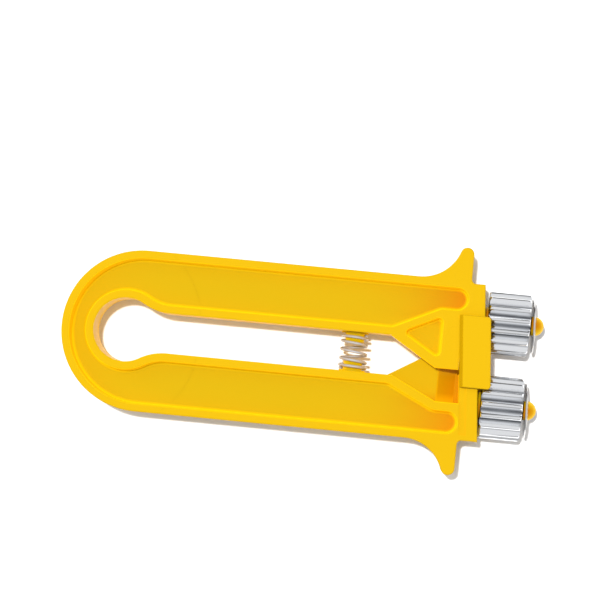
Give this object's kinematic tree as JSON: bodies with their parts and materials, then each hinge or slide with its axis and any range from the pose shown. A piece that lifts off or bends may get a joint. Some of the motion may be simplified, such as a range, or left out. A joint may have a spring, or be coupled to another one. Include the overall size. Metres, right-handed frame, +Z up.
{
  "type": "frame wire crimper",
  "caption": "Hand-squeezed beehive frame-wire crimper: springy U-shaped plastic handle with finger guards, overlapping guide plates and two toothed metal wheels.",
  "frame": {"origin": "centre of the footprint on the surface the tool lies on, at the lower tab's face", "axes": "+X from the bow towards the wheels, +Y from the lower arm to the upper arm, +Z up through the arms' thickness"},
  "size_m": [0.1606, 0.076, 0.024],
  "materials": {
    "handle_plastic": "moulded, semi-gloss, warm yellow",
    "wheel_chrome": "bright chrome plating over steel, lightly worn tooth crests",
    "disc_steel": "thin pressed steel, satin",
    "spring_steel": "drawn spring wire, bright zinc"
  },
  "bodies": {
    "lower_handle": {"bow": "handle_plastic", "lower_arm": "handle_plastic", "lower_retainer": "disc_steel", "return_spring": "spring_steel"},
    "upper_handle": {"upper_arm": "handle_plastic", "upper_retainer": "disc_steel"},
    "upper_roller": {"upper_wheel": "wheel_chrome"},
    "lower_roller": {"lower_wheel": "wheel_chrome"}
  },
  "joints": [
    {"name": "squeeze", "type": "hinge", "parent": "lower_handle", "child": "upper_handle", "pos_m": [-0.0696, 0, 0.012], "axis": [0, 0, -1], "range_deg": [0, 3.4], "stiffness_Nm_per_rad": 25, "deforming": ["return_spring"]},
    {"name": "lower_wheel_spin", "type": "hinge", "parent": "lower_handle", "child": "lower_roller", "pos_m": [0.0685, -0.0142, 0.012], "axis": [1, 0, 0], "continuous": true},
    {"name": "upper_wheel_spin", "type": "hinge", "parent": "upper_handle", "child": "upper_roller", "pos_m": [0.0685, 0.0142, 0.012], "axis": [1, 0, 0], "continuous": true}
  ],
  "couplings": [
    {"joint": "upper_wheel_spin", "follows": "lower_wheel_spin", "ratio": -1}
  ]
}
